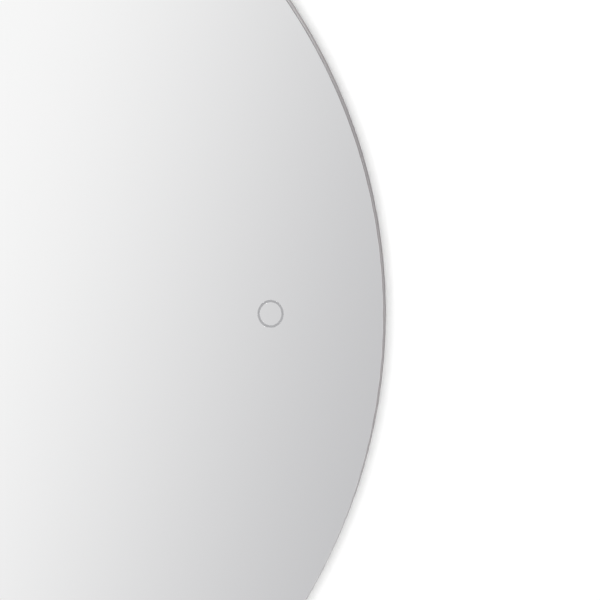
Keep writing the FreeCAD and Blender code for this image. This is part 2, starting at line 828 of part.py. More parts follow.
def driver_board():
    half_width = driver_width / 2 - driver_wall - board_margin
    return block(driver_x - board_half_length, driver_x + board_half_length, driver_z - half_width,
                 driver_z + half_width, board_back, board_front)


def driver_terminals():
    """Terminal strips at both ends of the board."""
    half_width = driver_width / 2 - driver_wall - 2 * board_margin
    made = []
    for side in (-1, 1):
        outer = driver_x + side * board_half_length
        x0, x1 = sorted((outer, outer - side * board_terminal_length))
        strip = block(x0, x1, driver_z - half_width, driver_z + half_width,
                      board_back - part_room, board_back)
        for i in range(3):
            strip = strip.cut(puck((x0 + x1) / 2, driver_z + (i - 1) * pole_pitch, pole_screw_radius,
                                   board_back - part_room - through, board_back - part_room / 2))
        made.append(strip)
    return made


def driver_transformer():
    """Ferrite core with its winding, on the middle of the board."""
    half_length, half_width = core_length / 2, core_width / 2
    back = board_back - part_room
    core = block(driver_x - half_length, driver_x + half_length, driver_z - half_width, driver_z + half_width,
                 back, board_back)
    core = core.cut(block(driver_x - half_length + core_limb, driver_x + half_length - core_limb,
                          driver_z - half_width - through, driver_z + half_width + through,
                          back + core_yoke, board_back + through))
    winding_length = core_length - 2 * core_limb - 2 * fit_gap
    winding = rounded_block(driver_x, driver_z, winding_length, core_width + 2 * winding_overhang,
                            winding_length / 4, back + core_yoke + fit_gap, board_back)
    return [core, winding]


def driver_capacitors():
    """Cans that lie across the board: two on the mains side and one on the output side."""
    radius = part_room / 2
    first = driver_x - board_half_length + board_terminal_length + 2 * radius
    last = driver_x + board_half_length - board_terminal_length - 2 * radius
    return [rod_z(x, driver_z - can_length / 2, driver_z + can_length / 2, board_back - radius, radius)
            for x in (first, first + 2.5 * radius, last)]


def driver_choke():
    """A ring core that lies flat on the board, between the transformer and the output."""
    x = driver_x + (core_length / 2 + board_half_length - board_terminal_length) / 2
    return washer(x, driver_z, choke_radius, choke_hole_radius, board_back - choke_height, board_back)


# ---- Terminal box ----

def terminal_box():
    """Tray with two hinge knuckles, a gland hole and holes for the leads."""
    shell = rounded_block(box_x, box_z, box_length, box_width, box_corner, lid_front, mount_pad_back)
    shell = eased(shell, mount_pad_back, case_edge)
    shell = shell.cut(rounded_block(box_x, box_z, box_length - 2 * box_wall, box_width - 2 * box_wall,
                                    box_corner - box_wall, lid_front - through, box_floor))
    for side in (-1, 1):
        inner = box_x + side * (knuckle_spread / 2 + knuckle_gap)
        x0, x1 = sorted((inner, inner + side * knuckle_length))
        knuckle = rod_x(x0, x1, hinge_z, lid_front, knuckle_radius)
        web = block(x0, x1, box_top_z - box_wall / 2, hinge_z, lid_front, lid_front + knuckle_radius)
        shell = shell.fuse(knuckle).fuse(web)
    reach = knuckle_spread / 2 + knuckle_gap + knuckle_length + through
    wall_low, wall_high = box_top_z - box_wall - through, box_top_z + through
    tools = [
        rod_x(box_x - reach, box_x + reach, hinge_z, lid_front, pin_radius + thread_gap),
        rod_x(box_left - through, box_left + box_wall + through, box_z, box_exit_depth,
              gland_thread_radius + fit_gap),
        rod_x(box_right - box_wall - through, box_right + through, box_z, box_exit_depth,
              mains_lead_radius + fit_gap),
        rod_z(demister_lead_x, wall_low, wall_high, box_exit_depth, lead_radius + fit_gap),
        rod_z(earth_lead_x, wall_low, wall_high, box_exit_depth, earth_lead_radius + fit_gap),
    ]
    return shell.cut(Part.makeCompound(tools))


def terminal_lid():
    """Flat lid with a skirt inside the walls, a finger tab at its lower edge and one long hinge knuckle."""
    lid = rounded_block(box_x, box_z, box_length, box_width, box_corner, box_back, lid_front)
    lid = eased(lid, box_back, case_edge)
    skirt_length = box_length - 2 * (box_wall + skirt_gap)
    skirt_width = box_width - 2 * (box_wall + skirt_gap)
    corner = box_corner - box_wall
    skirt = rounded_block(box_x, box_z, skirt_length, skirt_width, corner, lid_front, lid_front + lid_skirt)
    skirt = skirt.cut(rounded_block(box_x, box_z, skirt_length - 2 * box_wall, skirt_width - 2 * box_wall,
                                    corner / 2, lid_front - through, lid_front + lid_skirt + through))
    half = knuckle_spread / 2
    knuckle = rod_x(box_x - half, box_x + half, hinge_z, lid_front, knuckle_radius)
    web = block(box_x - half, box_x + half, box_top_z - box_wall, hinge_z, box_back, lid_front)
    bottom = box_z - box_width / 2
    tab = block(box_x - lid_tab_width / 2, box_x + lid_tab_width / 2, bottom - lid_tab_length,
                bottom + box_wall, box_back, lid_front)
    lid = lid.fuse(skirt).fuse(web).fuse(knuckle).fuse(tab)
    return lid.cut(rod_x(box_x - half - through, box_x + half + through, hinge_z, lid_front,
                         pin_radius + pin_gap))


def hinge_pin():
    reach = knuckle_spread / 2 + knuckle_gap + knuckle_length
    return rod_x(box_x - reach, box_x + reach, hinge_z, lid_front, pin_radius)


def pole_places():
    """Centres of the screws of the terminal block: two on each of three poles."""
    return [(box_x + side * block_length / 4, box_z + (i - 1) * pole_pitch)
            for i in range(3) for side in (-1, 1)]


def terminal_block():
    body = block(box_x - block_length / 2, box_x + block_length / 2, box_z - block_width / 2,
                 box_z + block_width / 2, block_back, box_floor)
    for x, z in pole_places():
        body = body.cut(puck(x, z, pole_screw_radius + fit_gap, block_back - through,
                             block_back + block_height / 2))
    side = box_x + block_length / 2
    for i in (-1, 0, 1):
        body = body.cut(rod_x(side - block_entry - fit_gap, side + through, box_z + i * pole_pitch,
                              core_entry_depth, core_radius + fit_gap))
    for i in range(2):
        z = box_z + (i - 0.5) * pole_pitch
        body = body.cut(block(box_x - block_length / 2 - through, box_x + block_length / 2 + through,
                              z - pole_wall_groove / 2, z + pole_wall_groove / 2,
                              block_back - through, block_back + 2 * pole_wall_groove))
    return body


def pole_screw(x, z):
    """A slotted brass screw sunk in the terminal block."""
    head = block_back + pole_wall_groove
    body = puck(x, z, pole_screw_radius, head, block_back + block_height / 2)
    return body.cut(block(x - pole_screw_radius - through, x + pole_screw_radius + through,
                          z - pole_slot_width / 2, z + pole_slot_width / 2,
                          head - through, head + pole_slot_width))


# ---- Cable gland, along X through the box's left wall ----

def gland_round(x0, x1, radius):
    return rod_x(x0, x1, box_z, box_exit_depth, radius)


def gland_six_sided(x0, x1):
    return hexagon(Vector(x0, -box_exit_depth, box_z), Vector(1, 0, 0), gland_hex, x1 - x0)


gland_shoulder = box_left - gland_hex_length         # outer end of the gland's hexagon
seal_end = gland_shoulder - seal_length
dome_end = gland_shoulder - gland_dome_length
tail_end = box_left + box_wall + gland_tail
seal_radius = gland_bore + seal_wall
sleeve_radius = seal_radius + fit_gap + gland_sleeve_wall
clear_radius = gland_bore + screw_gap                # of the hole that the cable passes


def gland_body():
    body = gland_six_sided(gland_shoulder, box_left)
    body = body.fuse(gland_round(box_left, tail_end, gland_thread_radius))
    body = body.fuse(gland_round(seal_end, gland_shoulder, sleeve_radius))
    body = body.cut(gland_round(seal_end - through, tail_end + through, clear_radius))
    return body.cut(gland_round(seal_end - through, gland_shoulder, seal_radius + fit_gap))


def gland_seal():
    return gland_round(seal_end, gland_shoulder, seal_radius).cut(
        gland_round(seal_end - through, gland_shoulder + through, gland_bore))


def gland_dome_nut():
    """Domed nut with finger grips, which presses the seal onto the cable."""
    taper_end = dome_end + (gland_dome_length - seal_length)
    inner = sleeve_radius + fit_gap
    dome = Part.makeCone(inner - gland_sleeve_wall, gland_hex / 2, taper_end - dome_end,
                         Vector(dome_end, -box_exit_depth, box_z), Vector(1, 0, 0))
    dome = dome.fuse(gland_round(taper_end, gland_shoulder, gland_hex / 2))
    dome = dome.cut(gland_round(seal_end, gland_shoulder + through, inner))
    dome = dome.cut(gland_round(dome_end - through, gland_shoulder, clear_radius))
    for i in range(12):
        angle = math.radians(30 * i)
        reach = gland_hex / 2 + gland_sleeve_wall / 2
        dome = dome.cut(Part.makeCylinder(gland_sleeve_wall * 0.8, seal_length + through,
                                          Vector(taper_end, reach * math.cos(angle) - box_exit_depth,
                                                 box_z + reach * math.sin(angle)), Vector(1, 0, 0)))
    return dome


def gland_locknut():
    start = box_left + box_wall
    return gland_six_sided(start, start + locknut_length).cut(
        gland_round(start - through, start + locknut_length + through, gland_thread_radius + thread_gap))


# ---- Touch sensor ----

def touch_case():
    inner = touch_case_radius - touch_case_wall
    case = spun_at(touch_x, touch_z, [
        (touch_case_radius, touch_case_front), (inner, touch_case_front), (inner, touch_board_back),
        (inner - touch_ledge, touch_board_back), (inner - touch_ledge, touch_board_back - touch_ledge),
        (inner, touch_board_back - touch_ledge), (inner, touch_case_back),
        (touch_case_radius, touch_case_back),
    ])
    return case.cut(rod_z(touch_x, touch_z - touch_case_radius - through, touch_z - inner / 2,
                          touch_lead_depth, lead_radius + fit_gap))


def touch_cap():
    back = touch_case_back - touch_cap_thickness
    return spun_at(touch_x, touch_z, [
        (0, back), (touch_case_radius - touch_cap_bevel, back), (touch_case_radius, back + touch_cap_bevel),
        (touch_case_radius, touch_case_back), (0, touch_case_back),
    ])


def touch_tape():
    return washer(touch_x, touch_z, touch_case_radius, touch_case_radius - touch_tape_width,
                  touch_case_front, paint_back)


def touch_board():
    return puck(touch_x, touch_z, touch_case_radius - touch_case_wall - fit_gap,
                touch_board_back, touch_board_front)


def touch_light_ring():
    """Clear ring that carries light from the board to the mark."""
    middle = (touch_mark_width + touch_mark_height) / 4
    return washer(touch_x, touch_z, middle + light_ring_wall / 2, middle - light_ring_wall / 2,
                  touch_board_front, paint_back - seat_gap)


def touch_electrode():
    front = paint_back - seat_gap
    return puck(touch_x, touch_z, electrode_radius, front - electrode_thickness, front)


def touch_foam():
    front = paint_back - seat_gap - electrode_thickness
    return puck(touch_x, touch_z, electrode_radius, touch_board_front, front)


# ---- Leads. Each route is a list of (x, z, depth) points ----

def mains_route():
    """From just inside the terminal box to the driver, with a little slack."""
    slack = box_driver_gap / 4
    return [
        (box_right - sheath_inside, box_z, box_exit_depth), (box_right + slack / 2, box_z, box_exit_depth),
        ((box_right + driver_left) / 2, box_z - slack / 2, (box_exit_depth + driver_exit_depth) / 2),
        (driver_left - slack / 2, driver_z, driver_exit_depth),
        (driver_x - board_half_length, driver_z, driver_exit_depth),
    ]


def core_route(i):
    """One of the mains lead's cores, from the sheath's end into its pole. i is -1, 0 or 1, from below."""
    start_x = box_right - sheath_inside
    side = box_x + block_length / 2
    start_z, end_z = box_z + i * core_spread, box_z + i * pole_pitch
    return [
        (start_x, start_z, box_exit_depth), (start_x - core_straight, start_z, box_exit_depth),
        (side + core_straight, end_z, core_entry_depth), (side - block_entry, end_z, core_entry_depth),
    ]


def sensor_route():
    """From the driver's end down to the glass, across the lower right and up to the touch sensor."""
    z = driver_z - driver_width / 4
    low = touch_z - touch_case_radius
    return [
        (driver_x + board_half_length, z, driver_exit_depth), (driver_right + 10, z, driver_exit_depth),
        (driver_right + 34, z + 4, lead_depth), (driver_right + 58, z + 26, lead_depth),
        (touch_x - 62, lower_bar_z - 16, lead_depth), (touch_x - 22, low - 110, lead_depth),
        (touch_x, low - 66, lead_depth), (touch_x, low - 34, lead_depth),
        (touch_x, low - 12, touch_lead_depth),
        (touch_x, low + touch_case_wall + touch_ledge, touch_lead_depth),
    ]


def demister_route():
    """Straight up from the terminal block to the heating pad's terminals."""
    return [
        (demister_lead_x, box_z + block_width / 2, box_exit_depth),
        (demister_lead_x, box_top_z + 10, box_exit_depth),
        (demister_lead_x, box_top_z + 30, lead_depth),
        (demister_lead_x, pad_block_low + pad_block_width / 2, lead_depth),
    ]


def earth_route():
    """From the lug under the lower bar, round and down to the terminal block."""
    z = lower_bar_bottom - earth_lead_radius
    return [
        (lug_barrel_end, z, earth_depth), (earth_lead_x, z, earth_depth),
        (earth_lead_x, box_top_z + 6, box_exit_depth),
        (earth_lead_x, box_z + block_width / 2, box_exit_depth),
    ]


def earth_lug():
    """A crimped ring terminal, flat against the underside of the lower bar."""
    low = lower_bar_bottom - lug_thickness
    ring = rod_z(earth_screw_x, low, lower_bar_bottom, earth_depth, lug_ring_radius)
    barrel_start = earth_screw_x + lug_ring_radius
    tongue = block(earth_screw_x, barrel_start + lug_thickness, low, lower_bar_bottom,
                   earth_depth - lug_tongue_width / 2, earth_depth + lug_tongue_width / 2)
    barrel = rod_x(barrel_start, lug_barrel_end, lower_bar_bottom - earth_lead_radius, earth_depth,
                   earth_lead_radius)
    return ring.fuse(tongue).fuse(barrel).cut(
        rod_z(earth_screw_x, low - through, lower_bar_bottom + through, earth_depth, M4[0] + screw_gap))


def earth_screw():
    """Through the lug and the bar's lower leg, into its nut in the channel."""
    shank, head, height = M4
    face = lower_bar_bottom - lug_thickness
    body = rod_z(earth_screw_x, face - height, face, earth_depth, head)
    body = body.cut(block(earth_screw_x - head / 2, earth_screw_x + head / 2, face - height - through,
                          face - height / 2, earth_depth - shank / 4, earth_depth + shank / 4))
    end = face + lug_thickness + bar_plate + M4_NUT[1] + 1
    return body.fuse(rod_z(earth_screw_x, face, end, earth_depth, shank))


def earth_nut():
    across, height = M4_NUT
    low = lower_bar_bottom + bar_plate
    return hexagon(Vector(earth_screw_x, -earth_depth, low), Vector(0, 0, 1), across, height).cut(
        rod_z(earth_screw_x, low - through, low + height + through, earth_depth, M4[0] + thread_gap))


def clip(x, z, along):
    """A saddle stuck to the back of the film. along is the lead's direction, as an angle in degrees."""
    hole = lead_radius + fit_gap
    base = rounded_block(0, 0, clip_base, clip_base, clip_base / 6, clip_base_back, film_back)
    arch = block(-clip_length / 2, clip_length / 2, -hole - clip_wall, hole + clip_wall,
                 lead_depth - hole - clip_wall, clip_base_back)
    made = base.fuse(arch).cut(rod_x(-clip_base, clip_base, 0, lead_depth, hole))
    made.rotate(Vector(0, 0, 0), Vector(0, 1, 0), -along)
    made.translate(Vector(x, 0, z))
    return made


def clip_on(start, end):
    """A clip at the middle of the run between two points of a route."""
    along = math.degrees(math.atan2(end[1] - start[1], end[0] - start[0]))
    return clip((start[0] + end[0]) / 2, (start[1] + end[1]) / 2, along)


def clips():
    sensor = sensor_route()
    demister = demister_route()
    return [clip_on(sensor[3], sensor[4]), clip_on(sensor[4], sensor[5]), clip_on(sensor[5], sensor[6]),
            clip_on(demister[2], demister[3])]


def mount_pad(x, z, length, width):
    """A foam pad between the film and a box."""
    return block(x - length / 2 + mount_pad_inset, x + length / 2 - mount_pad_inset,
                 z - width / 2 + mount_pad_inset, z + width / 2 - mount_pad_inset, mount_pad_back, film_back)


# ---- Write every sub-part ----

os.makedirs("parts", exist_ok=True)

save("mirror_glass", mirror_glass())
save("backing_paint", backing_paint())
save("safety_film", safety_film())
save("bonding_tape", bonding_tape())
save("rim_profile_left", rim_half(-1))
save("rim_profile_right", rim_half(1))
save("rim_joiners", rim_joiner(90), rim_joiner(270))
save("joiner_screws", *[screw(*on_circle(flange_middle, a), M3, rim_back, flange_thickness + joiner_thickness)
                        for a in joiner_angles()])
save("led_strip", led_strip())
save("led_packages", *leds())
save("led_diffuser", *diffuser())
save("upper_cross_bar", upper_bar())
save("lower_cross_bar", lower_bar())
save("cross_bar_screws", *[screw(x, z, M4, hanger_front, bar_plate + flange_thickness + 1)
                           for bar_z in (upper_bar_z, lower_bar_z) for x, z in bar_screw_places(bar_z)])
save("hanger_rail", hanger_rail())
save("hanger_screws", *[screw(x, z, M4, hanger_back, rail_plate + bar_plate + M4_NUT[1] + 1)
                        for x, z in hanger_screw_places()])
save("hanger_nuts", *[hanger_nut(x, z) for x, z in hanger_screw_places()])
save("wall_rail", wall_rail())
save("wall_bumpers", *[bumper(x, z) for x, z in bumper_places()])

save("demister_pad", rounded_block(0, 0, pad_width, pad_height, pad_corner, pad_back, film_back))
save("demister_foil", heating_foil())
save("demister_terminals", pad_terminals())

save("driver_base", driver_base())
save("driver_cover", driver_cover())
save("driver_screws", *[screw(x, z, M3, driver_back, driver_wall + 8) for x, z in driver_boss_places()])
save("driver_board", driver_board())
save("driver_terminals", *driver_terminals())
save("driver_transformer", *driver_transformer())
save("driver_capacitors", *driver_capacitors())
save("driver_choke", driver_choke())
save("mounting_pads", mount_pad(driver_x, driver_z, driver_length, driver_width),
     mount_pad(box_x, box_z, box_length, box_width))

save("terminal_box", terminal_box())
save("terminal_lid", terminal_lid())
save("lid_hinge_pin", hinge_pin())
save("terminal_block", terminal_block())
save("terminal_screws", *[pole_screw(x, z) for x, z in pole_places()])
save("gland_body", gland_body())
save("gland_dome_nut", gland_dome_nut())
save("gland_seal", gland_seal())
save("gland_locknut", gland_locknut())

save("touch_case", touch_case())
save("touch_cap", touch_cap())
save("touch_tape", touch_tape())
save("touch_board", touch_board())
save("touch_light_ring", touch_light_ring())
save("touch_electrode", touch_electrode())
save("touch_foam", touch_foam())

save("mains_lead", tube(mains_route(), mains_lead_radius))
save("mains_cores", *[tube(core_route(i), core_radius) for i in (-1, 0, 1)])
save("led_lead", tube(feed_route(), lead_radius))
save("sensor_lead", tube(sensor_route(), lead_radius))
save("demister_lead", tube(demister_route(), lead_radius))
save("earth_lead", tube(earth_route(), earth_lead_radius))
save("earth_lug", earth_lug())
save("earth_screw", earth_screw())
save("earth_nut", earth_nut())
save("lead_clips", *clips())
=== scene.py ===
import math

import bpy
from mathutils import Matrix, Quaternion, Vector


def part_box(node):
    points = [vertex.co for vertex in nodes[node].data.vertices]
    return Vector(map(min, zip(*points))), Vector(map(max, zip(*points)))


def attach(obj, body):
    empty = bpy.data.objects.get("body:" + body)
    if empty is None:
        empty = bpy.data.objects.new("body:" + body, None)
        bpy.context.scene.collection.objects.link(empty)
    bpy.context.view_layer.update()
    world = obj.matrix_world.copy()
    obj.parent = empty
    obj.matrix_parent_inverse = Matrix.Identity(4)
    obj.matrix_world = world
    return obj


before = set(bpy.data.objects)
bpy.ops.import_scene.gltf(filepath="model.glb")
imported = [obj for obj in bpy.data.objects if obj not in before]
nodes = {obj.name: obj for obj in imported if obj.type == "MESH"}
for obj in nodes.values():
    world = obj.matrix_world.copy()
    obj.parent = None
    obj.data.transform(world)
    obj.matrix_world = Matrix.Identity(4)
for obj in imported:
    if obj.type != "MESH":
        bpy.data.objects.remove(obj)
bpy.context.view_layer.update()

# A round mirror with a light behind it, hung on a white wall. The frame is in metres: +X to the right as seen
# from the front, +Y into the wall, +Z up, with the origin on the wall at the rail's row of slots.

MM = 0.001


def middle_of(name):
    """The middle of a node's box."""
    low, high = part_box(name)
    return (low + high) / 2


glass_low, glass_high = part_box("mirror_glass")
mirror_centre = middle_of("mirror_glass")
mirror_radius = (glass_high.x - glass_low.x) / 2
glass_face = glass_low.y


# ---- Building materials ----

def linear(code):
    """The linear colour of an sRGB hex code."""
    parts = [int(code[i:i + 2], 16) / 255 for i in (1, 3, 5)]
    return tuple(c / 12.92 if c <= 0.04045 else ((c + 0.055) / 1.055) ** 2.4 for c in parts) + (1.0,)


def add(tree, kind, inputs=None, **settings):
    """Adds a node. Each input is a number, a hex colour, or another node or one of its outputs to link.

    Mix takes its share as 0, two numbers as 2 and 3, and two colours as 6 and 7.
    """
    made = tree.nodes.new("ShaderNode" + kind)
    for name, value in settings.items():
        setattr(made, name, value)
    for name, value in (inputs or {}).items():
        if isinstance(value, bpy.types.Node):
            value = next(output for output in value.outputs if output.enabled)
        if isinstance(value, bpy.types.NodeSocket):
            tree.links.new(value, made.inputs[name])
        else:
            made.inputs[name].default_value = linear(value) if isinstance(value, str) else value
    return made


def blank(name):
    """An empty material, its tree, and the place on the object that its patterns read."""
    material = bpy.data.materials.new(name)
    material.use_nodes = True
    material.node_tree.nodes.clear()
    return material, material.node_tree, add(material.node_tree, "TexCoord").outputs["Object"]


def surfaced(material, inputs):
    """Gives a material its surface, from the inputs of its shader."""
    tree = material.node_tree
    add(tree, "OutputMaterial", {"Surface": add(tree, "BsdfPrincipled", inputs)})
    return material


def mottled(tree, place, size, light, dark):
    """Colour that drifts between two tones, in patches of a size in millimetres."""
    cloud = add(tree, "TexNoise", {"Vector": place, "Scale": 1 / (size * MM), "Detail": 3.0})
    share = add(tree, "MapRange", {"Value": cloud, "From Min": 0.35, "From Max": 0.65})
    return add(tree, "Mix", {0: share, 6: dark, 7: light}, data_type="RGBA")


def uneven(tree, place, size, smooth, rough):
    """Roughness that drifts between two values, in patches of a size in millimetres."""
    cloud = add(tree, "TexNoise", {"Vector": place, "Scale": 1 / (size * MM), "Detail": 2.0})
    return add(tree, "MapRange", {"Value": cloud, "To Min": smooth, "To Max": rough})


def grained(tree, place, size, depth):
    """The normal of a grained surface, with the size and depth of its grain in millimetres."""
    grain = add(tree, "TexNoise", {"Vector": place, "Scale": 1 / (size * MM), "Detail": 2.0})
    return add(tree, "Bump", {"Height": grain, "Distance": depth * MM})


def polar(tree, place, centre):
    """Distance from an axis along Y, the angle about it, the place along it, and the height above it."""
    moved = add(tree, "VectorMath", {0: place, 1: centre}, operation="SUBTRACT")
    x, y, z = add(tree, "SeparateXYZ", {"Vector": moved}).outputs
    across = add(tree, "CombineXYZ", {"X": x, "Z": z})
    radius = add(tree, "VectorMath", {0: across}, operation="LENGTH")
    return radius, add(tree, "Math", {0: z, 1: x}, operation="ARCTAN2"), y, z


# ---- The finishes of this mirror ----

face_arris = 0.8 * MM               # width of the ground arris round the face
mark_half_width = 8.5 * MM          # of the etched ring's middle line
mark_half_height = 9.1 * MM
mark_half_line = 0.79 * MM          # half the width of its line
mark_soft_edge = 0.2 * MM

# Heights above the mirror's centre between which the ground arris changes from painted shade to grey, and from
# grey to painted light.
painted_shade_full_height, painted_shade_end_height, painted_light_start_height, painted_light_full_height = (
    share * mirror_radius for share in (0.50, 0.05, -0.18, -0.45))


def silvered_float_glass():
    """Float glass silvered behind: a flawless mirror, whose ground arris and etched ring stay dull."""
    material, tree, place = blank("silvered_float_glass")
    radius, _, _, height = polar(tree, place, mirror_centre)
    edge = add(tree, "Math", {0: radius, 1: mirror_radius - face_arris}, operation="GREATER_THAN")

    # The ring: how far a point lies from an oval line about the mark's centre.
    moved = add(tree, "VectorMath", {0: place, 1: middle_of("touch_light_ring")}, operation="SUBTRACT")
    shares = add(tree, "VectorMath", {0: moved, 1: (1 / mark_half_width, 0, 1 / mark_half_height)},
                 operation="MULTIPLY")
    oval = add(tree, "VectorMath", {0: shares}, operation="LENGTH")
    beyond = add(tree, "Math", {0: oval, 1: 1.0}, operation="SUBTRACT")
    off_line = add(tree, "Math", {0: beyond}, operation="ABSOLUTE")
    near = (mark_half_line - mark_soft_edge / 2) / mark_half_width
    far = (mark_half_line + mark_soft_edge / 2) / mark_half_width
    mark = add(tree, "MapRange", {"Value": off_line, "From Min": near, "From Max": far,
                                  "To Min": 1.0, "To Max": 0.0})

    # The ground arris is painted by height: painted shade above, its own grey at the middle, and painted light
    # towards the floor.
    out_of_painted_shade = add(tree, "MapRange", {"Value": height, "From Min": painted_shade_full_height, "From Max": painted_shade_end_height})
    into_painted_light = add(tree, "MapRange", {"Value": height, "From Min": painted_light_start_height, "From Max": painted_light_full_height},
                   interpolation_type="SMOOTHSTEP")
    grey = mottled(tree, place, 30, "#a5a1a2", "#a09c9d")
    # The dark tone #8f8b8c is painted shade over the top of the arris, and the pale tone #c6c5c6 is painted
    # light towards the floor.
    upper = add(tree, "Mix", {0: out_of_painted_shade, 6: "#8f8b8c", 7: grey}, data_type="RGBA")
    arris_painted_tone = add(tree, "Mix", {0: into_painted_light, 6: upper, 7: "#c6c5c6"}, data_type="RGBA")

    etched = mottled(tree, place, 0.8, "#afafb1", "#a3a3a5")
    face = add(tree, "Mix", {0: edge, 6: "#fafafa", 7: arris_painted_tone}, data_type="RGBA")
    dull = add(tree, "Math", {0: edge, 1: mark}, operation="MAXIMUM")
    polish = add(tree, "Mix", {0: edge, 2: uneven(tree, place, 60, 0.010, 0.025), 3: 0.24})
    return surfaced(material, {
        "Base Color": add(tree, "Mix", {0: mark, 6: face, 7: etched}, data_type="RGBA"),
        "Metallic": add(tree, "Math", {0: 1.0, 1: dull}, operation="SUBTRACT"),
        "Roughness": add(tree, "Mix", {0: mark, 2: polish, 3: 0.78}),
    })


def backing_lacquer():
    """Curtain-coated lacquer over the silvering: an even blue grey, satin, with a faint orange peel."""
    material, tree, place = blank("backing_lacquer")
    return surfaced(material, {
        "Base Color": mottled(tree, place, 90, "#727b80", "#6a7378"),
        "Roughness": uneven(tree, place, 12, 0.36, 0.50),
        "Normal": grained(tree, place, 4, 0.04),
    })


def vinyl_safety_film():
    """Milky vinyl over a glass-fibre net of 3 mm mesh, whose threads show through faintly."""
    material, tree, place = blank("vinyl_safety_film")
    pitch, thread = 3 * MM, 0.35 * MM
    threads = []
    for axis in ("X", "Z"):
        along = add(tree, "SeparateXYZ", {"Vector": place}).outputs[axis]
        steps = add(tree, "Math", {0: along, 1: pitch}, operation="DIVIDE")
        share = add(tree, "Math", {0: steps}, operation="FRACT")
        threads.append(add(tree, "Math", {0: share, 1: thread / pitch}, operation="LESS_THAN"))
    net = add(tree, "Math", {0: threads[0], 1: threads[1]}, operation="MAXIMUM")
    film = mottled(tree, place, 160, "#cacdcd", "#c7caca")
    return surfaced(material, {
        "Base Color": add(tree, "Mix", {0: net, 6: film, 7: "#bec2c3"}, data_type="RGBA"),
        "Roughness": uneven(tree, place, 25, 0.34, 0.48),
        "Normal": add(tree, "Bump", {"Height": net, "Distance": 0.02 * MM}),
    })


def foam_tape():
    """Closed-cell acrylic foam: matt charcoal, with cells along its cut edge."""
    material, tree, place = blank("foam_tape")
    cells = add(tree, "TexVoronoi", {"Vector": place, "Scale": 1 / (0.8 * MM)})
    return surfaced(material, {
        "Base Color": mottled(tree, place, 3, "#2c2d30", "#202124"),
        "Roughness": 0.9,
        "Normal": add(tree, "Bump", {"Height": cells, "Distance": 0.15 * MM}),
    })


def satin_anodised_aluminium():
    """Rolled profile, satin anodised: warm grey, with die lines round the mirror, drawn coarse to show."""
    material, tree, place = blank("satin_anodised_aluminium")
    line_pitch = 1.6 * MM
    turn_radius = 4 * MM        # the angle is laid out on it, which stretches the lines along the rim
    radius, angle, depth, _ = polar(tree, place, mirror_centre)
    along = add(tree, "Math", {0: angle, 1: turn_radius}, operation="MULTIPLY")
    drawn = add(tree, "CombineXYZ", {"X": radius, "Y": depth, "Z": along})
    lines = add(tree, "TexNoise", {"Vector": drawn, "Scale": 1 / line_pitch, "Detail": 2.0})
    return surfaced(material, {
        "Base Color": add(tree, "Mix", {0: lines, 6: "#979495", 7: "#a29fa0"}, data_type="RGBA"),
        "Metallic": 1.0,
        "Roughness": add(tree, "MapRange", {"Value": lines, "To Min": 0.36, "To Max": 0.46}),
        "Specular Tint": "#c0bdbe",
        "Normal": add(tree, "Bump", {"Height": lines, "Distance": 0.01 * MM}),
    })


def frosted_polycarbonate():
    """Extruded light cover with frosting: milky white, soft sheen, a little light let through."""
    material, tree, place = blank("frosted_polycarbonate")
    return surfaced(material, {
        "Base Color": mottled(tree, place, 60, "#e4e6e3", "#dfe1de"),
        "Roughness": 0.55,
        "IOR": 1.58,
        "Transmission Weight": 0.25,
        "Normal": grained(tree, place, 0.7, 0.02),
    })


def flexible_circuit():
    """White solder mask on a flexible strip, with a bare copper cut mark every 50 mm."""
    material, tree, place = blank("flexible_circuit")
    cut_pitch, cut_width = 50 * MM, 3 * MM
    _, angle, _, _ = polar(tree, place, mirror_centre)
    lengths = add(tree, "Math", {0: angle, 1: mirror_radius / cut_pitch}, operation="MULTIPLY")
    share = add(tree, "Math", {0: lengths}, operation="FRACT")
    pad = add(tree, "Math", {0: share, 1: 1 - cut_width / cut_pitch}, operation="GREATER_THAN")
    mask = mottled(tree, place, 9, "#e9e9e3", "#dfdfd7")
    return surfaced(material, {
        "Base Color": add(tree, "Mix", {0: pad, 6: mask, 7: "#b87a45"}, data_type="RGBA"),
        "Roughness": 0.35,
    })


def phosphor_gel():
    """Light-emitting package, unlit: glossy yellow gel with soft clouding."""
    material, tree, place = blank("phosphor_gel")
    return surfaced(material, {
        "Base Color": mottled(tree, place, 2, "#e8bc45", "#d8a72f"),
        "Roughness": 0.25,
    })


def galvanised_sheet():
    """Hot-dip galvanised sheet: cold grey crystals about 7 mm across, over mill lines drawn 0.6 mm apart."""
    material, tree, place = blank("galvanised_sheet")
    along_bar = 0.03            # how closely the mill lines change along the bar, against across it
    crystals = add(tree, "TexVoronoi", {"Vector": place, "Scale": 1 / (7 * MM)}).outputs["Color"]
    shade = add(tree, "SeparateColor", {"Color": crystals}).outputs["Red"]
    drawn = add(tree, "Mapping", {"Vector": place, "Scale": (along_bar, 1, 1)})
    mill = add(tree, "TexNoise", {"Vector": drawn, "Scale": 1 / (0.6 * MM), "Detail": 3.0})
    tone = add(tree, "Math", {0: shade, 1: mill}, operation="MULTIPLY")
    return surfaced(material, {
        "Base Color": add(tree, "Mix", {0: shade, 6: "#9fa4a7", 7: "#adb2b5"}, data_type="RGBA"),
        "Metallic": 1.0,
        "Roughness": add(tree, "MapRange", {"Value": tone, "To Min": 0.38, "To Max": 0.50}),
        "Normal": add(tree, "Bump", {"Height": mill, "Distance": 0.015 * MM}),
    })


def zinc_plate():
    """Headed steel, zinc plated and passivated: bright, with a bluish and yellowish bloom by turns."""
    material, tree, place = blank("zinc_plate")
    return surfaced(material, {
        "Base Color": mottled(tree, place, 2.5, "#bfc2c4", "#aeada0"),
        "Metallic": 1.0,
        "Roughness": uneven(tree, place, 1.2, 0.20, 0.38),
    })


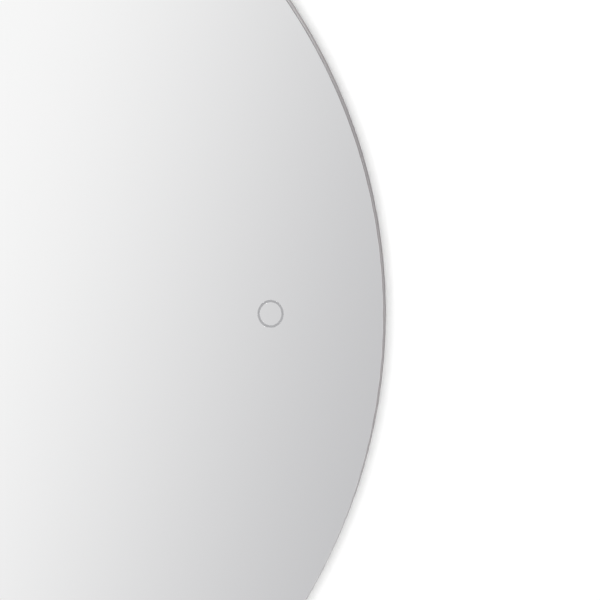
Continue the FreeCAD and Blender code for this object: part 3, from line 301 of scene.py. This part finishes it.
def moulded(name, light, dark, roughness, grain=1.5, patch=25):
    """Injection-moulded plastic: an even colour, with a spark-eroded grain drawn coarse enough to show.

    The sizes of the grain and of the patches of colour are in millimetres.
    """
    material, tree, place = blank(name)
    return surfaced(material, {
        "Base Color": mottled(tree, place, patch, light, dark),
        "Roughness": uneven(tree, place, grain, roughness - 0.05, roughness + 0.07),
        "Normal": grained(tree, place, grain, 0.025),
    })


def polyester_film():
    """The heating pad's carrier: creamy polyester film, glossy, lying in slight waves."""
    material, tree, place = blank("polyester_film")
    return surfaced(material, {
        "Base Color": mottled(tree, place, 90, "#dddad1", "#d9d6cc"),
        "Roughness": 0.24,
        "Normal": grained(tree, place, 45, 0.25),
    })


def etched_foil():
    """Etched aluminium foil: silver grey, with rolling lines across the pad, drawn 0.9 mm apart to show."""
    material, tree, place = blank("etched_foil")
    along_lines = 0.02
    drawn = add(tree, "Mapping", {"Vector": place, "Scale": (along_lines, 1, 1)})
    lines = add(tree, "TexNoise", {"Vector": drawn, "Scale": 1 / (0.9 * MM), "Detail": 2.0})
    return surfaced(material, {
        "Base Color": add(tree, "Mix", {0: lines, 6: "#9c9d9d", 7: "#b2b3b2"}, data_type="RGBA"),
        "Metallic": 1.0,
        "Roughness": add(tree, "MapRange", {"Value": lines, "To Min": 0.28, "To Max": 0.42}),
    })


def solder_mask():
    """Circuit board under green solder mask: paler over the copper tracks, with tinned pads."""
    material, tree, place = blank("solder_mask")
    track_pitch, track_from = 7 * MM, 0.42      # where a track starts and a pad ends, as shares of their pitch
    pad_pitch, pad_to = 5 * MM, 0.16
    cells = add(tree, "TexVoronoi", {"Vector": place, "Scale": 1 / track_pitch}, distance="MANHATTAN")
    track = add(tree, "Math", {0: cells, 1: track_from}, operation="GREATER_THAN")
    dots = add(tree, "TexVoronoi", {"Vector": place, "Scale": 1 / pad_pitch, "Randomness": 0.4})
    pad = add(tree, "Math", {0: dots, 1: pad_to}, operation="LESS_THAN")
    mask = add(tree, "Mix", {0: track, 6: "#1c5932", 7: "#2c7445"}, data_type="RGBA")
    return surfaced(material, {
        "Base Color": add(tree, "Mix", {0: pad, 6: mask, 7: "#b9bbb6"}, data_type="RGBA"),
        "Roughness": 0.3,
        "Normal": add(tree, "Bump", {"Height": track, "Distance": 0.03 * MM}),
    })


def taped_ferrite():
    """Sintered ferrite core, near black and dull, with glossy yellow tape wound in layers round its middle."""
    material, tree, place = blank("taped_ferrite")
    tape_half_width, layer = 6.95 * MM, 3 * MM
    moved = add(tree, "VectorMath", {0: place, 1: middle_of("driver_transformer")}, operation="SUBTRACT")
    x, y, _ = add(tree, "SeparateXYZ", {"Vector": moved}).outputs
    away = add(tree, "Math", {0: x}, operation="ABSOLUTE")
    tape = add(tree, "Math", {0: away, 1: tape_half_width}, operation="LESS_THAN")
    layers = add(tree, "Math", {0: y, 1: layer}, operation="DIVIDE")
    share = add(tree, "Math", {0: layers}, operation="FRACT")
    wound = add(tree, "Mix", {0: share, 6: "#c39c24", 7: "#dcb840"}, data_type="RGBA")
    core = mottled(tree, place, 2, "#3d3d40", "#303033")
    return surfaced(material, {
        "Base Color": add(tree, "Mix", {0: tape, 6: core, 7: wound}, data_type="RGBA"),
        "Roughness": add(tree, "MapRange", {"Value": tape, "To Min": 0.60, "To Max": 0.30}),
        "Normal": grained(tree, place, 0.8, 0.03),
    })


def enamelled_winding():
    """Enamelled copper wire laid side by side round a ring core: glossy red brown turns, with painted shade in
    the gaps between them.
    """
    material, tree, place = blank("enamelled_winding")
    turns = 72
    _, angle, _, _ = polar(tree, place, middle_of("driver_choke"))
    half_waves = add(tree, "Math", {0: angle, 1: turns / 2}, operation="MULTIPLY")
    wave = add(tree, "Math", {0: half_waves}, operation="SINE")
    wire_crest_and_gap_shade = add(tree, "Math", {0: wave}, operation="ABSOLUTE")
    # The dark brown #5c2c12 is painted shade in the gaps between the turns; the same wave also sets the bump.
    return surfaced(material, {
        "Base Color": add(tree, "Mix", {0: wire_crest_and_gap_shade, 6: "#5c2c12", 7: "#b96b38"}, data_type="RGBA"),
        "Roughness": 0.3,
        "Normal": add(tree, "Bump", {"Height": wire_crest_and_gap_shade, "Distance": 0.3 * MM}),
    })


def shrunk_sleeve():
    """Capacitor cans in dark shrink sleeve, open at the end to bare aluminium."""
    material, tree, place = blank("shrunk_sleeve")
    bare_end = 0.4 * MM
    _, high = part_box("driver_capacitors")
    z = add(tree, "SeparateXYZ", {"Vector": place}).outputs["Z"]
    end = add(tree, "Math", {0: z, 1: high.z - bare_end}, operation="GREATER_THAN")
    sleeve = mottled(tree, place, 6, "#20263a", "#181c2a")
    return surfaced(material, {
        "Base Color": add(tree, "Mix", {0: end, 6: sleeve, 7: "#b9bbbd"}, data_type="RGBA"),
        "Metallic": end,
        "Roughness": 0.3,
    })


def turned_brass():
    """Turned and slotted brass: warm, with fine tool marks."""
    material, tree, place = blank("turned_brass")
    return surfaced(material, {
        "Base Color": mottled(tree, place, 1.5, "#caa963", "#b5924d"),
        "Metallic": 1.0,
        "Roughness": uneven(tree, place, 0.6, 0.22, 0.42),
    })


def nitrile_rubber():
    """Pressed nitrile rubber: matt black with a faint bloom."""
    material, tree, place = blank("nitrile_rubber")
    return surfaced(material, {
        "Base Color": mottled(tree, place, 5, "#323233", "#242425"),
        "Roughness": 0.75,
        "Normal": grained(tree, place, 0.9, 0.04),
    })


def clear_acrylic():
    """Turned acrylic light guide: clear, with lightly frosted faces."""
    material, tree, place = blank("clear_acrylic")
    return surfaced(material, {
        "Base Color": "#dfe5e6",
        "Roughness": uneven(tree, place, 1.0, 0.12, 0.30),
        "IOR": 1.49,
        "Transmission Weight": 0.7,
    })


def handled_copper():
    """Copper foil electrode: orange metal, dulled in patches by handling."""
    material, tree, place = blank("handled_copper")
    return surfaced(material, {
        "Base Color": mottled(tree, place, 3, "#c47d47", "#a3653a"),
        "Metallic": 1.0,
        "Roughness": uneven(tree, place, 2, 0.28, 0.45),
    })


def open_foam():
    """Open-cell polyurethane foam: grey, with painted shade darkening its cell mouths all over."""
    material, tree, place = blank("open_foam")
    cells = add(tree, "TexVoronoi", {"Vector": place, "Scale": 1 / (0.7 * MM)})
    return surfaced(material, {
        # The dark grey #6e6f72 at the cell mouths is painted shade in the pores; the same cells also set the
        # bump.
        "Base Color": add(tree, "Mix", {0: cells, 6: "#6e6f72", 7: "#9c9da0"}, data_type="RGBA"),
        "Roughness": 0.95,
        "Normal": add(tree, "Bump", {"Height": cells, "Distance": 0.3 * MM}),
    })


def pvc_sheath(name, light, dark):
    """Extruded PVC sheath: a smooth satin skin with slight drag marks."""
    material, tree, place = blank(name)
    return surfaced(material, {
        "Base Color": mottled(tree, place, 12, light, dark),
        "Roughness": 0.42,
        "Normal": grained(tree, place, 1.6, 0.03),
    })


def earth_stripes(tree, place, width):
    """Green with yellow stripes that cross a core at a slant, one of each in a width in millimetres."""
    yellow_share = 0.35
    slanted = add(tree, "VectorMath", {0: place, 1: (1, 1, 1)}, operation="DOT_PRODUCT")
    steps = add(tree, "Math", {0: slanted, 1: width * MM}, operation="DIVIDE")
    share = add(tree, "Math", {0: steps}, operation="FRACT")
    stripe = add(tree, "Math", {0: share, 1: yellow_share}, operation="LESS_THAN")
    return add(tree, "Mix", {0: stripe, 6: "#2f8436", 7: "#d9c52c"}, data_type="RGBA")


def earth_sheath():
    """Green and yellow PVC of the earth lead, extruded in two colours."""
    material, tree, place = blank("earth_sheath")
    return surfaced(material, {
        "Base Color": earth_stripes(tree, place, 9),
        "Roughness": 0.4,
        "Normal": grained(tree, place, 1.6, 0.02),
    })


def core_insulation():
    """Thin glossy PVC on the mains cores: brown above, blue below, green and yellow between them."""
    material, tree, place = blank("core_insulation")
    parting = 1.0 * MM      # above and below the middle core, where all three leave the sheath
    moved = add(tree, "VectorMath", {0: place, 1: middle_of("mains_cores")}, operation="SUBTRACT")
    z = add(tree, "SeparateXYZ", {"Vector": moved}).outputs["Z"]
    upper = add(tree, "Math", {0: z, 1: parting}, operation="GREATER_THAN")
    lower = add(tree, "Math", {0: z, 1: -parting}, operation="LESS_THAN")
    earth = earth_stripes(tree, place, 5)
    colour = add(tree, "Mix", {0: upper, 6: earth, 7: "#6d4328"}, data_type="RGBA")
    return surfaced(material, {
        "Base Color": add(tree, "Mix", {0: lower, 6: colour, 7: "#2f63ad"}, data_type="RGBA"),
        "Roughness": 0.32,
        "Normal": grained(tree, place, 1.2, 0.02),
    })


def tinned_copper():
    """Crimped and tinned copper: soft, pale and slightly creased."""
    material, tree, place = blank("tinned_copper")
    return surfaced(material, {
        "Base Color": mottled(tree, place, 2, "#c4c3bf", "#adaba6"),
        "Metallic": 1.0,
        "Roughness": 0.36,
        "Normal": grained(tree, place, 1.5, 0.06),
    })


rubber = nitrile_rubber()
finishes = {
    silvered_float_glass(): ["mirror_glass"],
    backing_lacquer(): ["backing_paint"],
    vinyl_safety_film(): ["safety_film"],
    foam_tape(): ["bonding_tape", "mounting_pads", "touch_tape"],
    satin_anodised_aluminium(): ["rim_profile_left", "rim_profile_right"],
    frosted_polycarbonate(): ["led_diffuser"],
    flexible_circuit(): ["led_strip"],
    phosphor_gel(): ["led_packages"],
    galvanised_sheet(): ["rim_joiners", "upper_cross_bar", "lower_cross_bar", "hanger_rail", "wall_rail"],
    zinc_plate(): ["joiner_screws", "cross_bar_screws", "hanger_screws", "hanger_nuts", "driver_screws",
                   "lid_hinge_pin", "earth_screw", "earth_nut"],
    rubber: ["wall_bumpers", "gland_seal"],
    polyester_film(): ["demister_pad"],
    etched_foil(): ["demister_foil"],
    moulded("abs_white", "#dcdcd8", "#d8d8d4", 0.42): ["demister_terminals", "driver_cover"],
    moulded("polycarbonate_ivory", "#d5d5d0", "#d1d1cc", 0.40): ["driver_base"],
    moulded("abs_grey", "#6b6e71", "#676a6d", 0.48): ["terminal_box", "terminal_lid"],
    moulded("polyamide_green", "#2f6b4a", "#28603f", 0.38, grain=0.9, patch=6): ["driver_terminals"],
    moulded("polyamide_white", "#d8d6cc", "#cbc8bc", 0.40, grain=0.9, patch=8): ["terminal_block"],
    moulded("polyamide_black", "#1f2021", "#17181a", 0.38, grain=0.9, patch=6): [
        "gland_body", "gland_dome_nut", "gland_locknut"],
    moulded("abs_black", "#242527", "#1c1d1f", 0.42, grain=1.2, patch=10): ["touch_case", "touch_cap"],
    moulded("polyamide_natural", "#d9d5c6", "#ccc7b5", 0.45, grain=0.9, patch=5): ["lead_clips"],
    solder_mask(): ["driver_board", "touch_board"],
    taped_ferrite(): ["driver_transformer"],
    enamelled_winding(): ["driver_choke"],
    shrunk_sleeve(): ["driver_capacitors"],
    turned_brass(): ["terminal_screws"],
    clear_acrylic(): ["touch_light_ring"],
    handled_copper(): ["touch_electrode"],
    open_foam(): ["touch_foam"],
    pvc_sheath("pvc_black", "#232425", "#1a1b1c"): ["mains_lead", "sensor_lead"],
    pvc_sheath("pvc_white", "#dedcd5", "#d0cdc4"): ["led_lead", "demister_lead"],
    earth_sheath(): ["earth_lead"],
    core_insulation(): ["mains_cores"],
    tinned_copper(): ["earth_lug"],
}

for material, names in finishes.items():
    for name in names:
        slots = nodes[name].data.materials
        slots.clear()
        slots.append(material)


# ---- Rubber grommets where the leads pass through walls ----

mains_radius, lead_radius, earth_radius = 3.0 * MM, 1.75 * MM, 1.3 * MM
grommet_sides = 40
grommet_flange = 1.2 * MM           # thickness
grommet_brim = 2.0 * MM             # how far the flange reaches beyond the lead
grommet_sleeve = 3.0 * MM           # how far the tapered sleeve stands out from the flange
sleeve_root = 1.3 * MM              # wall of the sleeve at the flange
sleeve_tip = 0.8 * MM
bore_gap = 0.1 * MM
lip_round = 0.35 * MM
smooth_below = math.radians(35)
level_slack, circle_slack = 0.01 * MM, 0.1 * MM


def select(piece, kind, wanted):
    """Goes into edit mode with only those faces or edges selected whose corners wanted() says yes to."""
    bpy.ops.object.mode_set(mode="EDIT")
    bpy.ops.mesh.select_mode(type=kind)
    bpy.ops.mesh.select_all(action="DESELECT")
    bpy.ops.object.mode_set(mode="OBJECT")
    points = piece.data.vertices
    for part in piece.data.polygons if kind == "FACE" else piece.data.edges:
        part.select = wanted([points[i].co for i in part.vertices])
    bpy.ops.object.mode_set(mode="EDIT")


def level_at(corners, height):
    """Whether all corners lie at a height."""
    return all(abs(corner.z - height) < level_slack for corner in corners)


def on_circle(corners, radius):
    """Whether all corners lie at a distance from the upright axis."""
    return all(abs(corner.xy.length - radius) < circle_slack for corner in corners)


def grommet(lead):
    """A grommet for a lead of a radius, at the origin, flange down and tapered sleeve up."""
    brim, root, tip = lead + grommet_brim, lead + sleeve_root, lead + sleeve_tip
    top, end = grommet_flange, grommet_flange + grommet_sleeve
    bpy.ops.object.select_all(action="DESELECT")
    bpy.ops.mesh.primitive_cylinder_add(vertices=grommet_sides, radius=brim, depth=top,
                                        location=(0, 0, top / 2))
    piece = bpy.context.active_object
    bpy.ops.object.transform_apply(location=True)

    select(piece, "FACE", lambda corners: level_at(corners, top))
    bpy.ops.mesh.inset(thickness=brim - root)
    bpy.ops.mesh.extrude_region_move(TRANSFORM_OT_translate={"value": (0, 0, grommet_sleeve)})
    bpy.ops.transform.resize(value=(tip / root, tip / root, 1))
    bpy.ops.mesh.inset(thickness=sleeve_tip - bore_gap)
    bpy.ops.object.mode_set(mode="OBJECT")
    select(piece, "FACE", lambda corners: level_at(corners, 0))
    bpy.ops.mesh.inset(thickness=grommet_brim - bore_gap)
    bpy.ops.object.mode_set(mode="OBJECT")

    # The lead's way through joins the two inner faces, the only ones with more than four corners. Then the two
    # outer lips are rounded.
    select(piece, "FACE", lambda corners: len(corners) > 4)
    bpy.ops.mesh.bridge_edge_loops()
    bpy.ops.object.mode_set(mode="OBJECT")
    select(piece, "EDGE", lambda ends: level_at(ends, top) and on_circle(ends, brim) or
           level_at(ends, end) and on_circle(ends, tip))
    bpy.ops.mesh.bevel(offset=lip_round, segments=3)
    bpy.ops.mesh.select_all(action="SELECT")
    bpy.ops.mesh.normals_make_consistent(inside=False)
    bpy.ops.object.mode_set(mode="OBJECT")
    bpy.ops.object.shade_smooth_by_angle(angle=smooth_below)
    piece.data.materials.append(rubber)
    return piece


def seat(model, name, point, outward):
    """Copies a grommet onto a wall at a point, with its sleeve pointing outward."""
    bpy.ops.object.select_all(action="DESELECT")
    model.select_set(True)
    bpy.context.view_layer.objects.active = model
    bpy.ops.object.duplicate()
    piece = bpy.context.active_object
    piece.name = piece.data.name = name
    piece.location = point
    piece.rotation_euler = Vector(outward).to_track_quat("Z", "Y").to_euler()
    bpy.ops.object.transform_apply(location=True, rotation=True)
    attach(piece, "mirror")


box_half_height = 28 * MM           # of the terminal box, about the mains lead
rim_inner = 377.5 * MM              # radius of the rim's inner wall
feed_run = 30 * MM                  # how far the light lead runs straight on from the driver before it turns

_, box_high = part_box("terminal_box")
driver_low, driver_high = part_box("driver_base")
mains_low, mains_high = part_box("mains_lead")
light_low, light_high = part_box("led_lead")
sensor_low, sensor_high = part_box("sensor_lead")
box_exit_y = mains_low.y + mains_radius
driver_exit_y = sensor_high.y - lead_radius
mains_z = mains_high.z - mains_radius
light_z = light_high.z - lead_radius
sensor_z = sensor_low.z + lead_radius
box_top = mains_z + box_half_height
feed_way = Vector((driver_high.x + feed_run, 0, light_z - mirror_centre.z)).normalized()
feed_point = Vector((0, light_low.y + lead_radius, mirror_centre.z)) + feed_way * rim_inner
demister_x = middle_of("demister_lead").x
earth_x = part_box("earth_lead")[1].x - earth_radius

mains_model, lead_model, earth_model = map(grommet, (mains_radius, lead_radius, earth_radius))
seat(mains_model, "mains_grommet_box", (box_high.x, box_exit_y, mains_z), (1, 0, 0))
seat(mains_model, "mains_grommet_driver", (driver_low.x, driver_exit_y, mains_z), (-1, 0, 0))
seat(lead_model, "light_grommet_driver", (driver_high.x, driver_exit_y, light_z), (1, 0, 0))
seat(lead_model, "light_grommet_rim", feed_point, -feed_way)
seat(lead_model, "sensor_grommet", (driver_high.x, driver_exit_y, sensor_z), (1, 0, 0))
seat(lead_model, "demister_grommet", (demister_x, box_exit_y, box_top), (0, 0, 1))
seat(earth_model, "earth_grommet", (earth_x, box_exit_y, box_top), (0, 0, 1))
for model in (mains_model, lead_model, earth_model):
    bpy.data.objects.remove(model)


# ---- Stage: wall and floor ----

wall_width, wall_height = 7.0, 4.0
floor_z = -1.55
paper_tone = "#ffffff"
wall_lift, floor_lift = 0.04, 0.33      # glow seen by the camera only, which keeps the paper white


def studio_paper(name, lift):
    """Seamless white paper, seen only from its front and only by the camera."""
    material, tree, _ = blank(name)
    camera_ray = add(tree, "LightPath").outputs["Is Camera Ray"]
    strength = add(tree, "Math", {0: camera_ray, 1: lift}, operation="MULTIPLY")
    glow = add(tree, "Emission", {"Strength": strength})
    front = add(tree, "AddShader", {0: glow, 1: add(tree, "BsdfDiffuse", {"Color": paper_tone})})
    behind = add(tree, "NewGeometry").outputs["Backfacing"]
    both = add(tree, "MixShader", {0: behind, 1: front, 2: add(tree, "BsdfTransparent")})
    add(tree, "OutputMaterial", {"Surface": both})
    return material


def backdrop(name, location, rotation, width, height, material):
    """A flat sheet of the stage, seen only by the camera unless it is told otherwise."""
    bpy.ops.object.select_all(action="DESELECT")
    bpy.ops.mesh.primitive_plane_add(size=1, location=location, rotation=rotation)
    sheet = bpy.context.active_object
    sheet.name = name
    sheet.scale = (width, height, 1)
    bpy.ops.object.transform_apply(location=True, rotation=True, scale=True)
    sheet.data.materials.append(material)
    sheet.visible_diffuse = sheet.visible_glossy = False
    sheet.visible_transmission = sheet.visible_shadow = False
    return sheet


backdrop("wall", (0, 0, floor_z + wall_height / 2), (math.radians(90), 0, 0), wall_width, wall_height,
         studio_paper("wall_paper", wall_lift))
backdrop("floor", (0, -wall_width / 2, floor_z), (0, 0, 0), wall_width, wall_width,
         studio_paper("floor_paper", floor_lift))


# ---- Camera ----

view_azimuth = math.radians(4.05)
view_elevation = math.radians(4.92)
view_roll = math.radians(-0.19)
camera_distance = 16.0
frame_width = 0.4268        # what the picture takes in, across the mirror's face
aim = Vector((0.3400, glass_face, -0.1551))


def direction(azimuth, elevation):
    """The way out from the mirror at an azimuth to the right of its front and an elevation, in radians."""
    return Vector((math.sin(azimuth) * math.cos(elevation), -math.cos(azimuth) * math.cos(elevation),
                   math.sin(elevation)))


toward_camera = direction(view_azimuth, view_elevation)
camera = bpy.data.objects.new("camera", bpy.data.cameras.new("camera"))
bpy.context.scene.collection.objects.link(camera)
camera.location = aim + toward_camera * camera_distance
upright = (-toward_camera).to_track_quat("-Z", "Y")
camera.rotation_euler = (upright @ Quaternion((0, 0, 1), view_roll)).to_euler()
camera.data.sensor_width = 36.0
camera.data.lens = camera.data.sensor_width * camera_distance / frame_width
camera.data.clip_end = 100.0
bpy.context.scene.camera = camera


# ---- The card that the mirror shows: a pale studio that darkens softly to the lower right ----

card_distance = 2.4
card_size = 60.0            # wide enough to fill the mirror from any side
gradient_lean = math.radians(15)
card_across = Vector((math.cos(gradient_lean), 0, -math.sin(gradient_lean)))

# Tones by distance in metres across the card, from the point that the middle of the picture shows. The tones
# far out give the mirror a soft change from the side too.
card_tones = (
    (-3.40, "#bcbcbf"), (-2.20, "#f0f0f1"), (-1.20, "#cfcfd2"), (-0.32, "#fcfcfc"), (0.18, "#c2c2c4"),
    (1.20, "#bcbcbf"), (3.20, "#f0f0f1"),
)


def gradient_card(middle):
    """Glowing paper whose tones ease into each other. middle is the place along it that their zero goes to."""
    material, tree, place = blank("card_gradient")
    along = add(tree, "VectorMath", {0: place, 1: card_across}, operation="DOT_PRODUCT")
    first, last = card_tones[0][0], card_tones[-1][0]
    share = add(tree, "MapRange", {"Value": along, "From Min": middle + first, "From Max": middle + last})
    ramp = add(tree, "ValToRGB", {"Fac": share})
    ramp.color_ramp.interpolation = "EASE"
    while len(ramp.color_ramp.elements) < len(card_tones):
        ramp.color_ramp.elements.new(1.0)
    for stop, (distance, tone) in zip(ramp.color_ramp.elements, card_tones):
        stop.position, stop.color = (distance - first) / (last - first), linear(tone)
    add(tree, "OutputMaterial", {"Surface": add(tree, "Emission", {"Color": ramp, "Strength": 1.0})})
    return material


mirrored = Vector((-toward_camera.x, toward_camera.y, -toward_camera.z))
card_middle = aim + mirrored * (card_distance / -mirrored.y)
card = backdrop("card", card_middle, (math.radians(90), 0, 0), card_size, card_size,
                gradient_card(card_middle.dot(card_across)))
card.visible_camera = False
card.visible_glossy = True


# ---- Light ----

def soft_sun(name, azimuth, elevation, half_angle, level):
    """A lamp that lights a white surface square to it at the given level, seen from azimuth and elevation."""
    lamp = bpy.data.objects.new(name, bpy.data.lights.new(name, "SUN"))
    bpy.context.scene.collection.objects.link(lamp)
    toward_lamp = direction(math.radians(azimuth), math.radians(elevation))
    lamp.rotation_euler = toward_lamp.to_track_quat("Z", "Y").to_euler()
    lamp.data.angle = math.radians(2 * half_angle)
    lamp.data.energy = level * math.pi
    return lamp


key = soft_sun("key", azimuth=-1, elevation=1, half_angle=11.5, level=0.70)
key.visible_glossy = False
soft_sun("back_key", azimuth=205, elevation=35, half_angle=45, level=0.55)

room_fill = 0.32        # light of the room on the object, where the white that is seen has 1
world = bpy.data.worlds.new("studio")
bpy.context.scene.world = world
world.use_nodes = True
room = world.node_tree
room.nodes.clear()
path = add(room, "LightPath").outputs
seen = add(room, "Math", {0: path["Is Camera Ray"], 1: path["Is Glossy Ray"]}, operation="MAXIMUM")
seen = add(room, "Math", {0: seen, 1: path["Is Transmission Ray"]}, operation="MAXIMUM")
level = add(room, "MapRange", {"Value": seen, "To Min": room_fill, "To Max": 1.0})
add(room, "OutputWorld", {"Surface": add(room, "Background", {"Color": "#ffffff", "Strength": level})})

bpy.context.scene.view_settings.view_transform = "Standard"
